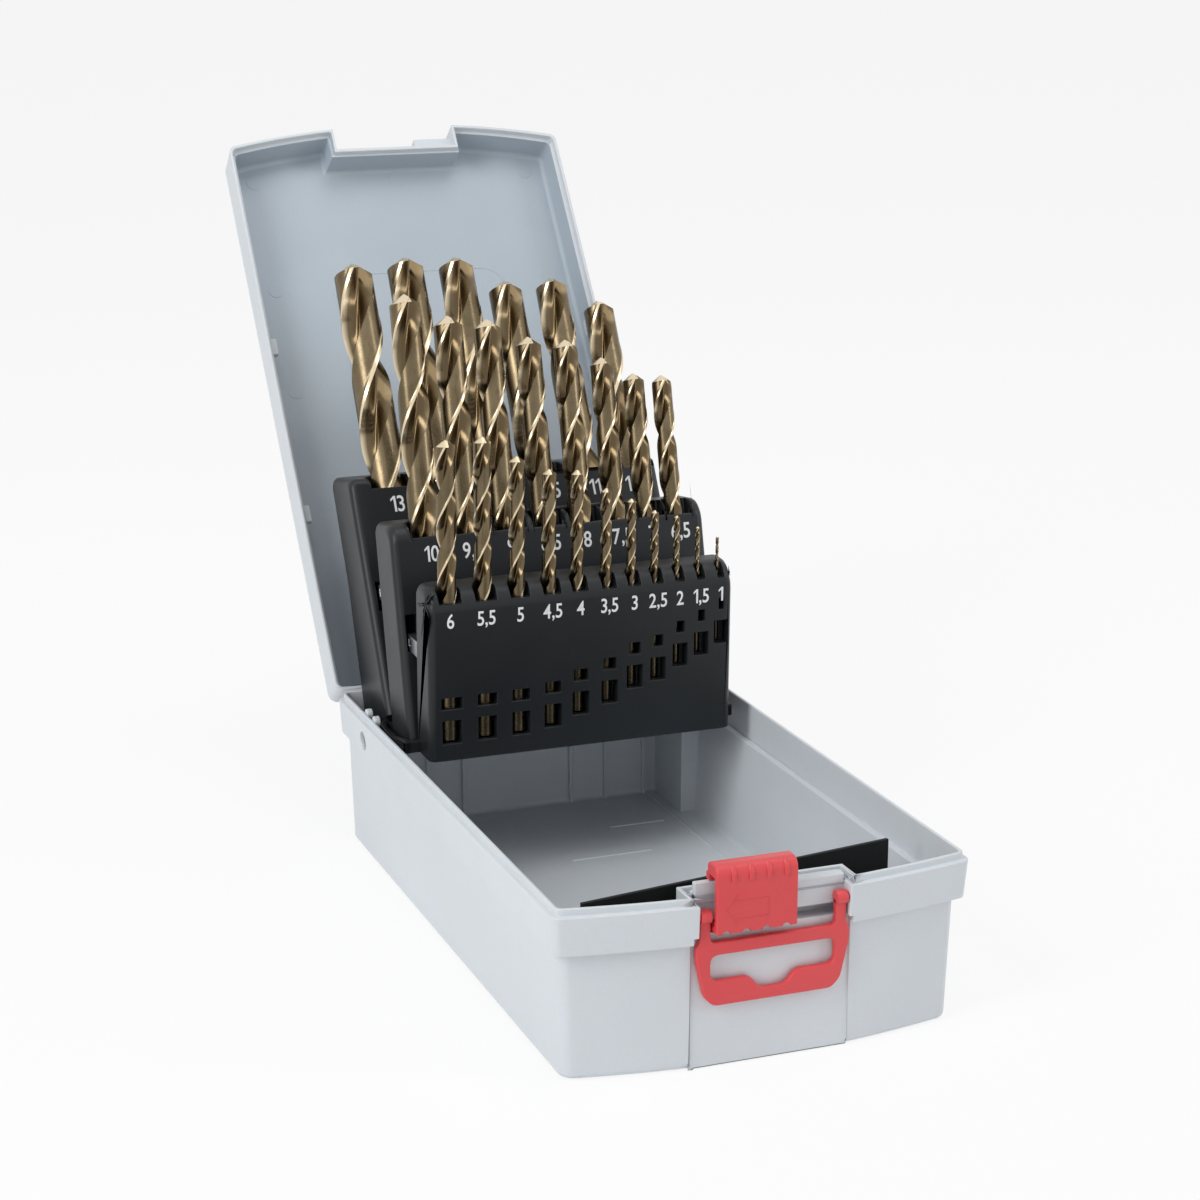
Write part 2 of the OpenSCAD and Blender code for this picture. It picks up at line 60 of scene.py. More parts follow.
# the latch's left and right ends, and the scallops in its lower edge
LATCH = (-17.4, 5.6)
SCALLOPS, SCALLOP_PITCH, SCALLOP_R = 4, 5.7, 1.25
# the hanger's axis and the half width of its loop
HANGER_Y, HANGER_Z, HANGER_HALF = -104.6, 43.4, 22

# A rack, drawn upright from its pivot. The line is the drills' distance behind the front face, the
# depth is the notches', the rise is the top's slope towards the rear, the nose is the radius of the
# upper front corner, and the foot is how far the lower rear spreads.
Rack = namedtuple("Rack", "half front rear low top line depth rise nose foot")
RACK = {
    "front": Rack(49.2, -37.4, -24.7, 3.9, 57.5, 4.2, 4.6, 0, 7, 0),
    "middle": Rack(51.6, -24.4, -7.4, 0.3, 68, 6.2, 6.1, 0.1, 6, 0),
    "back": Rack(52.4, -7.1, 13.3, 5.8, 90, 7.8, 10.6, 0.35, 3, 5),
}
LEAN = {"front": -1, "middle": 14, "back": 29.5}
# radius of the racks' upright corners, heights of the foot's spread and of its upper end
CORNER = 2.4
FOOT_RISE = (8, 49)
# how much wider a notch is than its socket, and how far the top sags beside it
SPARE = {"front": 0.3, "middle": 0.8, "back": 1.0}
SAG = {"front": 0.0, "middle": 1.0, "back": 1.2}
# room round a drill in its socket
CLEAR = 0.3

# A drill, with the height of its socket's floor above the pivot.
Drill = namedtuple("Drill", "size length fluted x seat")
DRILLS = {
    "front": [Drill(*d) for d in (
        (6, 93, 57, -42.2, 9.4), (5.5, 93, 57, -30.9, 9.6), (5, 86, 52, -20.1, 9.8),
        (4.5, 80, 47, -9.8, 11), (4, 76, 43, -0.8, 14), (3.5, 67, 38, 8.6, 16.6),
        (3, 59, 32, 16.8, 20.6), (2.5, 53, 29, 24.5, 22.3), (2, 47, 23, 31.8, 26),
        (1.5, 40, 18, 38.8, 28.9), (1, 33, 12, 45.4, 32.1))],
    "middle": [Drill(*d) for d in (
        (10, 133, 87, -38.8, 3.8), (9.5, 125, 81, -25.6, 4.4), (9, 125, 81, -13, 2.6),
        (8.5, 117, 75, 0, 4.3), (8, 117, 75, 12.2, 2.6), (7.5, 109, 69, 23.8, 4.3),
        (7, 104, 67, 34.1, 3.6), (6.5, 101, 63, 43.6, 5.4))],
    "back": [Drill(*d) for d in (
        (13, 151, 101, -37.4, 7.6), (12.5, 151, 101, -19.4, 8.8), (12, 151, 101, -2, 7.9),
        (11.5, 142, 94, 13.7, 7.6), (11, 142, 94, 30.1, 7.6), (10.5, 133, 87, 45.4, 7.6))],
}
# direction of a land's heel at the drills' tips, in degrees from +X
HEEL = {"front": 8, "middle": 12, "back": 1}
# height of the numerals' middle above the pivot, and their size
NUMERALS = {"front": (48.0, 4.6), "middle": (56.9, 5.0), "back": (73.9, 5.4)}
# half the thickness of the print
PRINT = 0.03


# Shader maths

class Value:
    """A number that varies over a surface, for sums written in Python."""

    def __init__(self, finish, socket):
        self.finish = finish
        self.socket = socket

    def sum(self, operation, a, b=0.0, c=0.0):
        node = self.finish.add("ShaderNodeMath", {"operation": operation}, {0: a, 1: b, 2: c})
        return Value(self.finish, node.outputs[0])

    def __add__(self, other):
        return self.sum("ADD", self, other)

    def __radd__(self, other):
        return self.sum("ADD", other, self)

    def __sub__(self, other):
        return self.sum("SUBTRACT", self, other)

    def __rsub__(self, other):
        return self.sum("SUBTRACT", other, self)

    def __mul__(self, other):
        return self.sum("MULTIPLY", self, other)

    def __rmul__(self, other):
        return self.sum("MULTIPLY", other, self)

    def over(self, low, high):
        """0 below low and 1 above high, in a straight line between."""
        return self.finish.read("ShaderNodeMapRange", {"clamp": True}, {0: self, 1: low, 2: high})


class Finish:
    """A Principled material and the one way its nodes are made."""

    def __init__(self, name, **constants):
        self.material = bpy.data.materials.new(name)
        self.material.use_nodes = True
        self.tree = self.material.node_tree
        self.shader = next(n for n in self.tree.nodes if n.type == "BSDF_PRINCIPLED")
        for socket, value in constants.items():
            self.shader.inputs[socket.replace("_", " ")].default_value = value
        self.here = self.add("ShaderNodeTexCoord").outputs["Object"]

    def add(self, kind, settings=None, sockets=None):
        node = self.tree.nodes.new(kind)
        for key, value in (settings or {}).items():
            setattr(node, key, value)
        for key, value in (sockets or {}).items():
            self.set(node.inputs[key], value)
        return node

    def set(self, socket, value):
        if isinstance(value, Value):
            value = value.socket
        if isinstance(value, bpy.types.NodeSocket):
            self.tree.links.new(value, socket)
        elif isinstance(value, tuple) and len(value) == 3 and socket.type == "RGBA":
            socket.default_value = (*value, 1)
        else:
            socket.default_value = value

    def read(self, kind, settings=None, sockets=None, output=0):
        return Value(self, self.add(kind, settings, sockets).outputs[output])

    def stretched(self, x, y, z):
        return self.add("ShaderNodeMapping", {}, {"Vector": self.here, "Scale": (x, y, z)}).outputs[0]

    def noise(self, scale, detail=2.0, where=None):
        return self.read("ShaderNodeTexNoise", {}, {
            "Vector": where or self.here, "Scale": scale, "Detail": detail})

    def mix(self, factor, a, b):
        node = self.add("ShaderNodeMix", {"data_type": "RGBA"}, {0: factor, 6: a, 7: b})
        return node.outputs[2]

    def feed(self, **inputs):
        for socket, value in inputs.items():
            self.set(self.shader.inputs[socket.replace("_", " ")], value)
        return self

    def bump(self, height, strength, distance):
        node = self.add("ShaderNodeBump", {}, {
            "Height": height, "Strength": strength, "Distance": distance * MM})
        self.set(self.shader.inputs["Normal"], node.outputs[0])
        return self


def tint(red, green, blue):
    """A screen colour, 0 to 255, as the linear colour that a shader takes."""
    return tuple(c / 12.92 if c <= 0.04045 else ((c + 0.055) / 1.055) ** 2.4
                 for c in (v / 255 for v in (red, green, blue)))


def moulded(name, colour, shade, rough, grain=0.012, scatter=0.0, specular=0.5):
    """Moulded plastic: a fine cast grain, slow drifts of tone and slightly uneven gloss."""
    f = Finish(name, Specular_IOR_Level=specular, Subsurface_Weight=scatter, Subsurface_Scale=0.004)
    drift = f.noise(18, 3)
    fine = f.noise(1500, 2)
    f.feed(Base_Color=f.mix((drift * 0.7 + fine * 0.3).over(0.35, 0.65), shade, colour),
           Roughness=rough + (f.noise(60, 4) - 0.5) * 0.12 + (fine - 0.5) * 0.08)
    return f.bump(f.noise(2600, 2) * 0.7 + f.noise(700, 2) * 0.3, 0.35, grain).material


def bronze_steel():
    """Cobalt steel with a bronze temper: satin lands and polished flutes. The flutes are darker, partly oxide
    and partly painted shade; the margins and tip are bright cream, partly bare steel and partly painted
    highlight.
    """
    f = Finish("bronze_steel", Metallic=1.0)
    flute = f.read("ShaderNodeAttribute", {"attribute_name": "flute"}, output=2)
    ground_glint = f.read("ShaderNodeAttribute", {"attribute_name": "ground_glint"}, output=2)
    streak = f.noise(900, 3, f.stretched(1, 1, 0.12))
    grind = f.noise(4200, 2, f.stretched(1, 1, 0.35))
    tone = f.mix(f.noise(120, 3).over(0.35, 0.65), tint(104, 92, 71), tint(122, 108, 85))
    tone = f.mix(streak.over(0.5, 0.75) * 0.5, tone, tint(84, 71, 53))
    # darker in the flutes: partly oxide, partly painted shade
    tone = f.mix(flute, tone, tint(97, 83, 61))
    # the margins and the tip in bright cream: partly bare steel, partly painted highlight
    tone = f.mix(ground_glint, tone, tint(226, 208, 176))
    f.feed(Base_Color=tone, Roughness=0.2 - flute * 0.08 + streak * 0.1 + grind * 0.05)
    return f.bump(grind * 0.6 + streak * 0.4, 0.25, 0.015).material


def ground_steel(name, colour, rough):
    """Turned or ground metal with fine rings along X."""
    f = Finish(name, Metallic=1.0)
    ring = f.noise(1400, 2, f.stretched(0.2, 1, 1))
    f.feed(Base_Color=f.mix(ring.over(0.4, 0.6), colour, tuple(0.72 * c for c in colour)),
           Roughness=rough + (ring - 0.5) * 0.2)
    return f.bump(ring, 0.25, 0.02).material


GREY = moulded("grey_plastic", tint(217, 223, 228), tint(211, 217, 222), 0.42, scatter=0.06)
# the grey plastic made darker for the lid's inside: painted shade
SHADED_GREY = moulded("grey_plastic_painted_shade", tint(180, 191, 200), tint(173, 184, 194), 0.4, scatter=0.03)
BLACK = moulded("black_plastic", tint(32, 35, 38), tint(26, 29, 32), 0.38, grain=0.02, specular=0.3)
RED = moulded("red_plastic", tint(224, 76, 80), tint(217, 68, 73), 0.36, scatter=0.1)
CARD = moulded("black_card", tint(25, 28, 28), tint(20, 22, 23), 0.62, grain=0.03, specular=0.2)
BRONZE = bronze_steel()
PIN = ground_steel("pin_steel", tint(170, 172, 176), 0.34)
CLIP = ground_steel("clip_metal", tint(186, 190, 196), 0.3)
WHITE = moulded("white_print", tint(244, 246, 247), tint(238, 240, 242), 0.5, grain=0.004)


# Making meshes

def solid(name, mesh, material):
    """An object of one mesh and one material, in the scene."""
    obj = bpy.data.objects.new(name, mesh)
    bpy.context.scene.collection.objects.link(obj)
    mesh.materials.clear()
    mesh.materials.append(material)
    return obj


def settled(obj):
    """Puts the result of the object's modifiers in its mesh and removes them."""
    mesh = bpy.data.meshes.new_from_object(obj.evaluated_get(bpy.context.evaluated_depsgraph_get()))
    obj.modifiers.clear()
    obj.data = mesh
    return obj


def eased(obj, width, segments=2, angle=28):
    """Rounds the sharp edges by the width in millimetres and keeps flat faces looking flat."""
    edge = obj.modifiers.new("edge", "BEVEL")
    edge.width = width * MM
    edge.segments = segments
    edge.limit_method = "ANGLE"
    edge.angle_limit = math.radians(angle)
    edge.use_clamp_overlap = False
    obj.data.shade_smooth()
    level = obj.modifiers.new("level", "WEIGHTED_NORMAL")
    level.keep_sharp = True
    return settled(obj)


def joined_flats(obj, half, angle=0.1):
    """Joins faces that lie in one plane, up to a half width, so that rounded edges end cleanly."""
    form = bmesh.new()
    form.from_mesh(obj.data)
    bmesh.ops.remove_doubles(form, verts=form.verts, dist=2e-6)
    verts = [v for v in form.verts if abs(v.co.x) < half * MM]
    edges = [e for e in form.edges if all(abs(v.co.x) < half * MM for v in e.verts)]
    bmesh.ops.dissolve_limit(form, angle_limit=math.radians(angle), verts=verts, edges=edges,
                             delimit={"MATERIAL"})
    form.to_mesh(obj.data)
    form.free()
    return obj


def closed(name, forms, material, merge=False):
    """One object of closed forms, each its corners in millimetres and its faces."""
    verts, faces = [], []
    for corners, sides in forms:
        base = len(verts)
        verts.extend(Vector(c) * MM for c in corners)
        faces.extend(tuple(base + i for i in side) for side in sides)
    mesh = bpy.data.meshes.new(name)
    mesh.from_pydata(verts, [], faces)
    form = bmesh.new()
    form.from_mesh(mesh)
    if merge:
        bmesh.ops.remove_doubles(form, verts=form.verts, dist=2e-6)
    bmesh.ops.recalc_face_normals(form, faces=form.faces)
    form.to_mesh(mesh)
    form.free()
    return solid(name, mesh, material)


def through(rings):
    """A closed form through rings that all have as many corners."""
    count = len(rings[0])
    verts = [p for ring in rings for p in ring]
    faces = [tuple(range(count)), tuple(range(len(verts) - count, len(verts)))]
    for j in range(len(rings) - 1):
        faces.extend((j * count + i, j * count + (i + 1) % count,
                      (j + 1) * count + (i + 1) % count, (j + 1) * count + i) for i in range(count))
    return verts, faces


def prism(x, outline):
    """An outline in Y and Z, drawn out along X."""
    return through([[(a, y, z) for y, z in outline] for a in x])


def block(x, y, z):
    return prism(x, [(y[0], z[0]), (y[1], z[0]), (y[1], z[1]), (y[0], z[1])])


def rod(x, y, z, radius, sides=40):
    """A round bar along X."""
    return prism(x, [(y + radius * math.cos(2 * math.pi * i / sides),
                      z + radius * math.sin(2 * math.pi * i / sides)) for i in range(sides)])


def ridge(points, half, low, high):
    """A closed ridge along an outline in X and Y, between two heights."""
    verts, faces = [], []
    for n, p in enumerate(points):
        p, a, b = Vector(p), Vector(points[n - 1]), Vector(points[(n + 1) % len(points)])
        u, v = (p - a).normalized(), (b - p).normalized()
        side = Vector((-(u + v).y, (u + v).x)).normalized() * half / max(0.3, math.cos(u.angle(v) / 2))
        verts += [(*(p - side), low), (*(p + side), low), (*(p + side), high), (*(p - side), high)]
        after = 4 * ((n + 1) % len(points))
        faces += [(4 * n + i, 4 * n + (i + 1) % 4, after + (i + 1) % 4, after + i) for i in range(4)]
    return verts, faces


def pair(form):
    """A form and its mirror image across the case."""
    verts, faces = form
    return [form, ([(-x, y, z) for x, y, z in verts], faces)]


def carved(obj, forms):
    """Cuts closed forms out of an object."""
    material = obj.data.materials[0]
    cutter = closed("cutter", forms, material)
    cut = obj.modifiers.new("cut", "BOOLEAN")
    cut.object = cutter
    cut.operation = "DIFFERENCE"
    cut.solver = "EXACT"
    cut.use_self = True
    bpy.context.view_layer.update()
    settled(obj)
    bpy.data.objects.remove(cutter)
    return obj


def lean_frame(row):
    """Places a point of a rack's own drawing, in metres from the pivot, in the model."""
    return (Matrix.Translation(PIVOT * MM) @ Matrix.Rotation(math.radians(-LEAN[row]), 4, "X"))


LID_FRAME = (Matrix.Translation(HINGE * MM) @ Matrix.Rotation(math.radians(-LID_ANGLE), 4, "X")
             @ Matrix.Translation(-HINGE * MM))


def keep(obj, body, slot, *nodes):
    """Rides a finished piece on its body and hides the nodes it stands for. The slot is not used."""
    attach(obj, body)
    if nodes:
        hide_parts(*nodes)
    return obj


# The tray and the lid

def bowed(x, width, front):
    """Y of the bowed front at one X."""
    return front - BOW * (1 - (2 * x / width) ** 2)


def rounding(radius):
    """Steps round a quarter circle, from a wall on: how far in, and how far up or down."""
    return [(radius * (1 - math.cos(math.radians(a))), radius * math.sin(math.radians(a)))
            for a in (0, 22, 45, 68, 90)]


def plan(z, width, front, rear, radius, flat=(PANEL[0], None), recess=(RECESS[0], None)):
    """One level of the case's plan. The flat and the recess are each a half width and a Y."""
    def arc(cx, cy, start, sweep):
        return [(cx + radius * math.cos(math.radians(start + sweep * i / 8)),
                 cy + radius * math.sin(math.radians(start + sweep * i / 8)), z) for i in range(9)]

    def at(x, *levels):
        known = [y for y in levels if y is not None]
        return known[-1] if known else bowed(x, width, front)

    half = width / 2 - radius
    (x1, y1), (x2, y2) = flat, recess
    row = [(x, at(x)) for x in (-half + (half - x1) * i / 9 for i in range(10))]
    row += [(-x1, at(x1, y1)), (-x2, at(x2, y1)), (-x2, at(x2, y1, y2))]
    row += [(-x2 + x2 * i / 6, at(-x2 + x2 * i / 6, y1, y2)) for i in range(1, 6)]
    row += [(0, at(0, y1, y2))] + [(-x, y) for x, y in reversed(row)]
    corner = bowed(half, width, front) + radius
    meets = 76
    return (arc(half, rear - radius, 0, 90) + arc(-half, rear - radius, 90, 90)
            + arc(-half, corner, 180, meets)[:-1] + [(x, y, z) for x, y in row]
            + arc(half, corner, 360 - meets, meets)[1:])


def low_wall(z, inset=0.0, **front):
    """The lower wall, which leans out a little from foot to band."""
    width, y0, y1 = (size + gain * z / BAND for size, gain in zip(FOOT, FOOT_GAIN))
    return plan(z, width - 2 * inset, y0 + inset, y1 - inset, max(5 - inset, 1), **front)


def band(z, inset=0.0, **front):
    """The band under the lid, a little narrower at its foot than at the shoulder."""
    t = (SHOULDER - z) / (SHOULDER - BAND)
    return plan(z, WIDTH - 1.4 * t - 2 * inset, FRONT + 0.7 * t + inset, REAR - 0.2 * t - inset,
                3 - inset / 2, **front)


def tray_rings():
    """The tray in one loft: up its outside, over the lip, down its inside to the floor."""
    foot_r, floor_r = 1.6, 1.5
    panel, recess = {"flat": PANEL}, {"recess": RECESS}
    rings = [low_wall(foot_r - rise, inset, **panel) for inset, rise in reversed(rounding(foot_r))]
    rings += [low_wall(BAND, **panel), band(BAND, **panel), band(SILL, **panel), band(SILL, **recess),
              band(SHOULDER, **recess)]

    lip_out, lip_in, inner_foot, behind = 1.4, 2.4, 37.5, (24, -95.8)
    lip = {"recess": (22.9, -97.0)}
    back = {"flat": (24.8, None), "recess": behind}
    rings += [band(SHOULDER, lip_out, **lip), band(LIP, lip_out, **lip), band(LIP, lip_in, **back),
              band(SHOULDER, lip_in, **back), plan(inner_foot, 115.2, -98.6, 98.6, 1.8, **back)]

    shallow = {"flat": (24.8, PANEL[1] + WALL)}
    deep = {**shallow, "recess": behind}
    rings += [low_wall(inner_foot, WALL, **deep), low_wall(SILL - WALL, WALL, **deep),
              low_wall(SILL - WALL, WALL, **shallow)]
    return rings + [low_wall(FLOOR + floor_r - rise, WALL + inset, **shallow)
                    for inset, rise in rounding(floor_r)]


def knuckle(k, x):
    """A hinge knuckle with its foot on the rear wall."""
    foot = [(99.5, 42.0), (103.2, 43.6), (103.9, HINGE.z), (99.5, HINGE.z)]
    return pair(rod(x, HINGE.y, HINGE.z, KNUCKLE_R)) + (pair(prism(x, foot)) if k != 1 else [])


def painted_shade_inside(obj, inside):
    """Gives the faces whose middle passes the test the darker grey: painted shade on the inside."""
    obj.data.materials.append(SHADED_GREY)
    for face in obj.data.polygons:
        if inside(*(v / MM for v in face.center)):
            face.material_index = 1
    return obj


def make_tray():
    tray = closed("tray_shell", [through(tray_rings())], GREY, merge=True)
    carved(tray, pair(rod((50, 63), PIVOT.y, PIVOT.z, 3)))
    keep(eased(tray, 0.32), "case_base", "case_plastic", "tray")

    thin, base, upper = 0.6, 1.9, 37.6
    ribs = [block((x - thin, x + thin), (97.0, 98.9), (base, upper)) for x in
            (-44.6, -31, -18.7, 18.7, 31, 44.6)]
    ribs += pair(block((49.3, 55.5), (75.5, 99.0), (base, 33)))
    ribs += pair(block((45.2, 46.2), (-89, 98), (base, 2.9)))
    ribs += [block((22, 41), (69.6, 70.2), (base, 2.8)), block((0, 27), (45.6, 46.2), (base, 2.8))]
    keep(eased(closed("tray_ribs", ribs, GREY), 0.25), "case_base", "case_plastic")

    fittings = pair(rod((54.7, 58), PIVOT.y, PIVOT.z, 5.6))
    for y in (67.5, 75.5):
        fittings += pair(rod((55.8, 57.7), y, 48.6, 1.7, 28))
    for k in (0, 2):
        fittings += knuckle(k, KNUCKLES[k])
    keep(eased(closed("tray_fittings", fittings, GREY), 0.3), "case_base", "case_plastic")

    side, front, back = RECESS[0], -102.4, -100.4
    rail = [block((-22.4, 22.4), (front, back), (41, SHOULDER)),
            block((-22.4, 22.4), (front, -97.2), (45.4, SHOULDER)),
            block((-side, side), (front, -98.9), (46, LIP)),
            block((-side, 5.5), (front, back), (46.5, 52))]
    keep(eased(closed("latch_rail", rail, GREY), 0.4), "case_base", "case_plastic")


def lid_rings():
    """The lid, shut, in one loft: from the rim up its inside, then down its outside to the rim."""
    rim, step, roof, roof_r, under_r = 47.2, 49.5, LID_TOP, 2.2, 1.6
    notch = {"flat": (22.4, None), "recess": (21.8, -98.6)}

    def level(z, inset, radius, **front):
        return plan(z, WIDTH - 2 * inset, FRONT + inset, REAR - inset, radius, **front)

    def inner(z, inset, width, back):
        return level(z, inset, 2.2, flat=(width + 0.6, None), recess=(width, back))

    thick, under, notch_y = 2.3, 59.7, -96.6
    rings = [inner(under - under_r + rise, thick + inset, 23.6 + inset, notch_y + inset)
             for inset, rise in reversed(rounding(under_r))]
    rings += [inner(step, 2.1, 23.5, notch_y), inner(step, 1.05, 22.7, -97.3), inner(rim, 1.05, 22.7, -97.3)]
    rings.append(level(rim, 0, 3, **notch))
    return rings + [level(roof - roof_r + rise, 0.5 + inset, 3, **notch) for inset, rise in rounding(roof_r)]


# marks of the mould's ejector pins on the lid's inside
EJECTORS = [(-50, -93.5), (2, -92.5), (50, -93.5), (-50, -51), (50, -51), (-50, -12), (50, -12)]


def make_lid():
    lid = closed("lid_shell", [through(lid_rings())], GREY, merge=True)
    # the lid's inside faces take the darker grey, painted shade
    painted_shade_inside(lid, lambda x, y, z: z < 59.75 and abs(x) < 58.2 and y < 99.2
          and y > (-96.7 if abs(x) < 22.6 else bowed(x, 115.2, -99.2)))
    room = 0.4
    carved(lid, [f for x0, x1 in (KNUCKLES[0], KNUCKLES[2])
                 for f in pair(rod((x0 - room, x1 + room), HINGE.y, HINGE.z, KNUCKLE_R + room))])
    eased(lid, 0.32)
    lid.data.transform(LID_FRAME)
    keep(lid, "lid", "case_plastic", "lid")

    parts = [block((7.7, 22.4), (-102.8, -98.0), (50, 53.4))] + knuckle(1, KNUCKLES[1])
    for y in (-28, 34):
        parts += pair(block((55.8, 58.5), (y, y + 6), (50.6, 53.2)))
    fittings = eased(closed("lid_fittings", parts, GREY), 0.3)
    fittings.data.transform(LID_FRAME)
    keep(fittings, "lid", "case_plastic")

    ceiling, disc = (59.58, 59.9), 2.8
    marks = [through([[(x + disc * math.cos(math.radians(a)), y + disc * math.sin(math.radians(a)), z)
                       for a in range(0, 360, 10)] for z in ceiling]) for x, y in EJECTORS]
    left, right, front, back = -29.5, 32.8, -55.5, 22
    panel = softened([(left, front), (right, front), (right, back), (left, back)], 9, 8)
    marks.append(ridge(panel, 0.35, *ceiling))
    # the marks take the darker grey of the lid's inside, painted shade
    moulding = eased(closed("lid_marks", marks, SHADED_GREY), 0.07, 1)
    moulding.data.transform(LID_FRAME)
    keep(moulding, "lid", "case_plastic")


# The racks

def rack_section(x, k, drill=None, deep=False, sag=0.0):
    """The rack's outline in Y and Z at one X: solid, in a notch, or in a notch over its socket."""
    half, front, rear, low, top, line, depth, rise, r, foot = k
    slope = math.atan(rise)
    over = max(0.0, abs(x) - (half - CORNER))
    inset = CORNER - math.sqrt(max(0.0, CORNER ** 2 - over ** 2))
    yd = front + line
    front += inset

    def surface(y):
        return top - rise * (rear - y) - inset / math.cos(slope)

    floor = top - depth
    middle, centre = front + r, surface(front + r) - r / math.cos(slope)
    starts = middle - r * math.sin(slope)

    def outside(y):
        return surface(y) if y > starts else centre + math.sqrt(max(0.0, r * r - (y - middle) ** 2))

    first = math.degrees(math.acos(max(-1.0, min((yd - 0.6 - middle) / r, -math.sin(slope)))))
    meets = 180 - math.degrees(math.asin(max(0.0, min(1.0, (floor - centre) / r))))
    angles = [first + (meets - first) * i / 6 for i in range(7)] + [(meets + 180) / 2, 180]
    arc = [(middle + r * math.cos(math.radians(a)), centre + r * math.sin(math.radians(a))) for a in angles]
    slit = 0.2
    s = slit
    if drill is None:
        cut = [(y, outside(y)) for y in (yd + slit, yd + slit, yd + slit, yd - slit, yd - 2 * slit)]
        arc = [(y, z - sag) for y, z in arc]
    else:
        if deep:
            s = max(slit, math.sqrt(max(0.0, (drill.size / 2 + CLEAR) ** 2 - (x - drill.x) ** 2)))
        bottom = drill.seat - 0.3 if deep else floor
        cut = [(yd + s, outside(yd + s)), (yd + s, floor), (yd + s, bottom), (yd - s, bottom),
               (yd - s, floor)]
        arc = [(y, min(z, floor)) for y, z in arc]
    foot_points = [(rear, low)]
    if foot:
        foot_points = [(rear + foot, low), (rear + foot, low + FOOT_RISE[0]), (rear, low + FOOT_RISE[1])]
    crest = [max(starts, yd + s), max((starts + yd + slit) / 2, yd + s)]
    back_edge = 1.5
    outline = foot_points + [(rear, surface(rear) - back_edge), (rear - back_edge, surface(rear - back_edge))]
    outline += [(y, outside(y)) for y in crest] + cut + arc
    return [(x, y, z) for y, z in outline + [(front, low)]]


def rack_rings(row):
    """The rack in one loft from left to right, through its round corners, notches and sockets."""
    k = RACK[row]
    flat = k.half - CORNER
    sags = ((1.6, 0.0), (0.7, 0.25), (0.25, 0.6), (0, 1.0)) if SAG[row] else ((0, 0.0),)
    ends = [flat + CORNER * math.sin(math.radians(a)) for a in (22, 44, 66, 88)]
    notches = [(d.x - d.size / 2 - CLEAR - SPARE[row], d.x + d.size / 2 + CLEAR + SPARE[row])
               for d in DRILLS[row]]
    rings = [rack_section(-x, k) for x in reversed(ends)] + [rack_section(-flat, k)]
    for n, drill in enumerate(DRILLS[row]):
        x0, x1 = notches[n]
        before = notches[n - 1][1] if n else -flat
        after = notches[n + 1][0] if n + 1 < len(notches) else flat
        share = max(0.0, min(1.0, 0.3 * (x0 - before)))
        rings += [rack_section(x0 - out * share, k, sag=drop * SAG[row]) for out, drop in sags]
        r = drill.size / 2 + CLEAR
        xs = [drill.x - r * math.cos(math.radians(a)) for a in range(0, 181, 15)]
        rings += [rack_section(x0, k, drill), rack_section(xs[0], k, drill)]
        rings += [rack_section(x, k, drill, deep=True) for x in xs]
        rings += [rack_section(xs[-1], k, drill), rack_section(x1, k, drill)]
        share = max(0.0, min(1.0, 0.3 * (after - x1)))
        rings += [rack_section(x1 + out * share, k, sag=drop * SAG[row]) for out, drop in reversed(sags)]
    return rings + [rack_section(x, k) for x in [flat] + ends if x > notches[-1][1] + 0.1]


# the ears that the racks swing on: their X, and their outline in Y and Z from the pivot
EARS = {
    "front": ((52.1, 54.1), [(-27.7, 4.2), (-27.7, 7.8), (-25.2, 7.8), (-12, 4.9), (0, 4.9), (0, -5),
                             (-4, -3.4), (-8, 0.6)]),
    "middle": ((50, 51.4), [(-22, 2), (-22, 10), (-7.4, 10), (-7.4, 5), (0, 5.3), (0, -5.3), (-6, -1.6)]),
    "back": ((47, 49.2), [(-5.3, 0), (-5.3, 8), (5.3, 8), (5.3, 0)]),
}


BOSS_R = 5.3
# the arm that joins the front rack's ear to its block, and the slots that the link clips sit in
FRONT_ARM = ((46.2, 54.1), (-27.7, -25.2), (4.2, 7.8))
LINK_SLOTS = {"middle": (-12.9, (27.5, 38.8)), "back": (5.4, (39.4, 48.8))}


def front_windows(k):
    """Two windows under each drill of the front rack."""
    cuts = []
    for size, _, _, x, seat in DRILLS["front"]:
        for half, z0, z1 in ((2.1 + 0.15 * size, -0.1, 7.2), (CLEAR + size / 2, 10.8, 14.4)):
            cuts.append(block((x - half, x + half), (k.front - 1, k.front + k.line), (seat + z0, seat + z1)))
    return cuts


def make_racks():
    for row, k in RACK.items():
        rack = closed("rack_" + row + "_block", [through(rack_rings(row))], BLACK, merge=True)
        if row == "front":
            cuts = front_windows(k)
        else:
            rear, height = LINK_SLOTS[row]
            cuts = [block((-49.3, -45.7), (k.front - 1, rear), height)]
        carved(rack, cuts)
        eased(joined_flats(rack, k.half - CORNER + 0.01), 0.28)
        ear, outline = EARS[row]
        arms = pair(prism(ear, outline)) + pair(rod(ear, 0, 0, BOSS_R))
        if row == "front":
            arms += pair(block(*FRONT_ARM))
        arms = eased(closed("rack_" + row + "_arms", arms, BLACK), 0.35)
        for obj, nodes in ((rack, ["rack_" + row]), (arms, [])):
            obj.data.transform(lean_frame(row))
            keep(obj, row + "_rack", "rack_plastic", *nodes)


# The latch, hanger, cards, clips and pins

def scallop_middles():
    return [LATCH[0] + 2.9 + SCALLOP_PITCH * i for i in range(SCALLOPS)]


